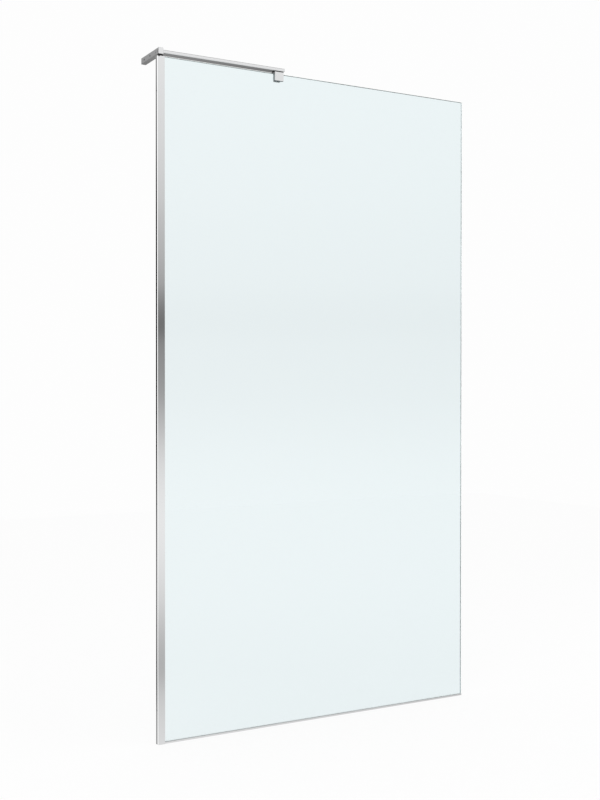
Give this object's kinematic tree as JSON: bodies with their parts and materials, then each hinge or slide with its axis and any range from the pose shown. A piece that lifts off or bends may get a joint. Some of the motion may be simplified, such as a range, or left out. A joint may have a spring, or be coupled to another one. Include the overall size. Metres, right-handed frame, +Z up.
{
  "type": "shower screen",
  "caption": "Fixed glass shower screen: the panel slides in a chrome wall channel for width adjustment, stands in a bottom rail and is braced by an L stabiliser with a glass clamp.",
  "frame": {"origin": "where the middle plane of the glass meets the wall, at floor level", "axes": "+X along the glass away from the wall, +Y from the front face of the glass towards the side where the stabiliser's leg runs, +Z up"},
  "size_m": [1.105, 0.134, 2.022],
  "materials": {
    "chrome": "polished",
    "satin_aluminium": "satin anodised",
    "steel": "stainless",
    "black_plastic": "moulded",
    "black_rubber": "moulded",
    "clear_vinyl": "translucent extruded",
    "grey_vinyl": "extruded",
    "white_nylon": "moulded",
    "glass": "clear toughened, polished edges"
  },
  "bodies": {
    "wall_side": {"wall_channel": "chrome", "channel_top_plug": "black_plastic", "channel_bottom_plug": "black_plastic", "lock_screws": "steel", "lock_screw_caps": "chrome", "leg_tube": "chrome", "leg_cap_near": "chrome", "leg_cap_far": "chrome", "leg_plugs": "chrome", "corner_block": "satin_aluminium", "corner_bolts": "steel", "arm_bar": "chrome", "clamp_spacer": "black_rubber", "clamp_bolts": "steel", "clamp_block": "chrome", "clamp_liner": "clear_vinyl", "clamp_pressure_plate": "steel", "clamp_grub_screws": "steel"},
    "panel": {"glass_panel": "glass", "glass_profile": "satin_aluminium", "gasket_front": "clear_vinyl", "gasket_rear": "clear_vinyl", "edge_blocks": "white_nylon", "bottom_rail": "chrome", "rail_gasket_front": "grey_vinyl", "rail_gasket_rear": "grey_vinyl", "setting_blocks": "white_nylon", "rail_end_cap": "chrome"}
  },
  "joints": [
    {"name": "panel_slide", "type": "slide", "parent": "wall_side", "child": "panel", "axis": [1, 0, 0], "range_m": [-0.002, 0.007]}
  ]
}
